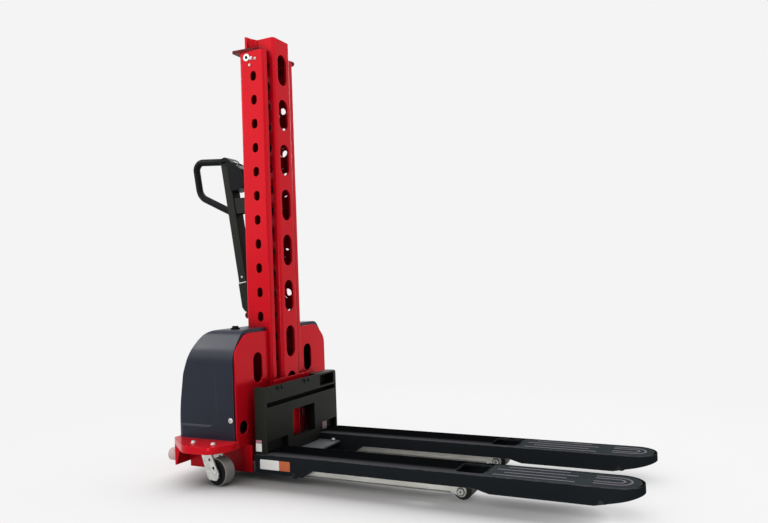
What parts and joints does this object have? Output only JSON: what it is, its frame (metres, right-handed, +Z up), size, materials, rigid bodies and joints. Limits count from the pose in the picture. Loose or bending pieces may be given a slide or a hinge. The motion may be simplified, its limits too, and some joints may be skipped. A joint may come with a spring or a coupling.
{
  "type": "self-loading stacker",
  "caption": "Walk-behind self-loading stacker: forks on a telescoping slotted mast, legs nesting inside the forks, load rollers, swivel casters and a tiller with a loop handle.",
  "frame": {"origin": "on the floor under the middle of the whole machine with the forks down", "axes": "+X towards the fork tips, +Y to the left of someone facing that way, +Z up"},
  "size_m": [1.6188, 0.7724, 1.522],
  "materials": {
    "red_paint": "gloss",
    "hood_plastic": "satin",
    "black_paint": "satin",
    "fork_paint": "semi-gloss",
    "tread_paint": "matte",
    "grey_paint": "satin",
    "leg_steel": "brushed",
    "zinc_steel": "zinc plated",
    "black_oxide": "black oxide",
    "hard_chrome": "polished",
    "cylinder_steel": "satin",
    "bearing_steel": "ground",
    "roller_polymer": "satin",
    "wheel_plastic": "satin",
    "tread_rubber": "matte",
    "buffer_rubber": "matte",
    "grip_plastic": "satin",
    "button_green": "gloss",
    "button_grey": "gloss"
  },
  "bodies": {
    "chassis": {"outer_mast": "red_paint", "mast_cap_plate": "red_paint", "top_guide_pins": "zinc_steel", "lift_cylinder": "cylinder_steel", "limit_switch": "grip_plastic", "base_platform": "red_paint", "platform_bolts": "zinc_steel", "base_frame": "red_paint", "rear_buffers": "buffer_rubber", "front_plate": "red_paint", "hood": "hood_plastic", "key_switch": "grip_plastic", "battery": "grip_plastic", "power_unit": "grey_paint", "load_roller_axles": "zinc_steel", "caster_plates": "zinc_steel", "tiller_bracket": "red_paint", "tiller_pin": "black_oxide", "tiller_stop": "black_paint", "support_leg_left": "leg_steel", "support_leg_right": "leg_steel"},
    "lift": {"inner_mast": "red_paint", "mount_plate": "red_paint", "carriage_frame": "black_paint", "cross_plate": "grey_paint", "carriage_bolts": "black_oxide", "low_guide_pins": "zinc_steel", "fork_roller_axles": "black_oxide", "cylinder_rod": "hard_chrome", "fork_left": "fork_paint", "fork_right": "fork_paint", "tip_plate_left": "tread_paint", "tip_plate_right": "tread_paint"},
    "tiller": {"tiller_arm": "black_paint", "tiller_sleeve": "black_paint", "tiller_loop": "grip_plastic", "control_head": "grip_plastic"},
    "raise_button": {"raise_button": "button_green"},
    "lower_button": {"lower_button": "button_grey"},
    "switch_knob": {"switch_knob": "grip_plastic"},
    "load_roller_left": {"load_roller_left": "roller_polymer"},
    "heel_roller_left": {"heel_roller_left": "bearing_steel"},
    "tip_roller_left": {"tip_roller_left": "roller_polymer"},
    "top_guide_roller_left": {"top_guide_roller_left": "bearing_steel"},
    "low_guide_roller_left": {"low_guide_roller_left": "bearing_steel"},
    "caster_left": {"caster_fork_left": "zinc_steel", "caster_axle_left": "zinc_steel"},
    "caster_wheel_left": {"caster_wheel_left": "wheel_plastic", "caster_tyre_left": "tread_rubber"},
    "load_roller_right": {"load_roller_right": "roller_polymer"},
    "heel_roller_right": {"heel_roller_right": "bearing_steel"},
    "tip_roller_right": {"tip_roller_right": "roller_polymer"},
    "top_guide_roller_right": {"top_guide_roller_right": "bearing_steel"},
    "low_guide_roller_right": {"low_guide_roller_right": "bearing_steel"},
    "caster_right": {"caster_fork_right": "zinc_steel", "caster_axle_right": "zinc_steel"},
    "caster_wheel_right": {"caster_wheel_right": "wheel_plastic", "caster_tyre_right": "tread_rubber"}
  },
  "joints": [
    {"name": "lift_slide", "type": "slide", "parent": "chassis", "child": "lift", "axis": [0, 0, 1], "range_m": [0, 1.1]},
    {"name": "tiller_hinge", "type": "hinge", "parent": "chassis", "child": "tiller", "pos_m": [-0.55709, 0, 0.524], "axis": [0, -1, 0], "range_deg": [0, 75]},
    {"name": "switch_turn", "type": "hinge", "parent": "chassis", "child": "switch_knob", "pos_m": [-0.48259, -0.19, 0.486], "axis": [0, 0, 1], "range_deg": [0, 90]},
    {"name": "raise_press", "type": "slide", "parent": "tiller", "child": "raise_button", "axis": [-0.5723, 0, -0.8201], "range_m": [0, 0.003], "stiffness_N_per_m": 600},
    {"name": "lower_press", "type": "slide", "parent": "tiller", "child": "lower_button", "axis": [-0.5723, 0, -0.8201], "range_m": [0, 0.003], "stiffness_N_per_m": 600},
    {"name": "load_roller_left_spin", "type": "hinge", "parent": "chassis", "child": "load_roller_left", "pos_m": [0.31741, 0.168, 0.027], "axis": [0, 1, 0], "continuous": true},
    {"name": "heel_roller_left_spin", "type": "hinge", "parent": "lift", "child": "heel_roller_left", "pos_m": [-0.23559, 0.221, 0.029], "axis": [0, 1, 0], "continuous": true},
    {"name": "tip_roller_left_spin", "type": "hinge", "parent": "lift", "child": "tip_roller_left", "pos_m": [0.70541, 0.168, 0.044], "axis": [0, 1, 0], "continuous": true},
    {"name": "top_guide_roller_left_spin", "type": "hinge", "parent": "chassis", "child": "top_guide_roller_left", "pos_m": [-0.47329, 0.05975, 1.441], "axis": [0, 1, 0], "continuous": true},
    {"name": "low_guide_roller_left_spin", "type": "hinge", "parent": "lift", "child": "low_guide_roller_left", "pos_m": [-0.47729, 0.05975, 0.095], "axis": [0, 1, 0], "continuous": true},
    {"name": "caster_left_swivel", "type": "hinge", "parent": "chassis", "child": "caster_left", "pos_m": [-0.49159, 0.314, 0.1117], "axis": [0, 0, 1], "continuous": true},
    {"name": "caster_left_roll", "type": "hinge", "parent": "caster_left", "child": "caster_wheel_left", "pos_m": [-0.45772, 0.31696, 0.044], "axis": [-0.0872, 0.9962, 0], "continuous": true},
    {"name": "load_roller_right_spin", "type": "hinge", "parent": "chassis", "child": "load_roller_right", "pos_m": [0.31741, -0.168, 0.027], "axis": [0, 1, 0], "continuous": true},
    {"name": "heel_roller_right_spin", "type": "hinge", "parent": "lift", "child": "heel_roller_right", "pos_m": [-0.23559, -0.221, 0.029], "axis": [0, 1, 0], "continuous": true},
    {"name": "tip_roller_right_spin", "type": "hinge", "parent": "lift", "child": "tip_roller_right", "pos_m": [0.70541, -0.168, 0.044], "axis": [0, 1, 0], "continuous": true},
    {"name": "top_guide_roller_right_spin", "type": "hinge", "parent": "chassis", "child": "top_guide_roller_right", "pos_m": [-0.47329, -0.05975, 1.441], "axis": [0, 1, 0], "continuous": true},
    {"name": "low_guide_roller_right_spin", "type": "hinge", "parent": "lift", "child": "low_guide_roller_right", "pos_m": [-0.47729, -0.05975, 0.095], "axis": [0, 1, 0], "continuous": true},
    {"name": "caster_right_swivel", "type": "hinge", "parent": "chassis", "child": "caster_right", "pos_m": [-0.49159, -0.314, 0.1117], "axis": [0, 0, 1], "continuous": true},
    {"name": "caster_right_roll", "type": "hinge", "parent": "caster_right", "child": "caster_wheel_right", "pos_m": [-0.45772, -0.31696, 0.044], "axis": [0.0872, 0.9962, 0], "continuous": true}
  ],
  "couplings": [
    {"joint": "top_guide_roller_left_spin", "follows": "lift_slide", "rad_per_m": 83.333},
    {"joint": "low_guide_roller_left_spin", "follows": "lift_slide", "rad_per_m": -45.455},
    {"joint": "top_guide_roller_right_spin", "follows": "lift_slide", "rad_per_m": 83.333},
    {"joint": "low_guide_roller_right_spin", "follows": "lift_slide", "rad_per_m": -45.455}
  ]
}
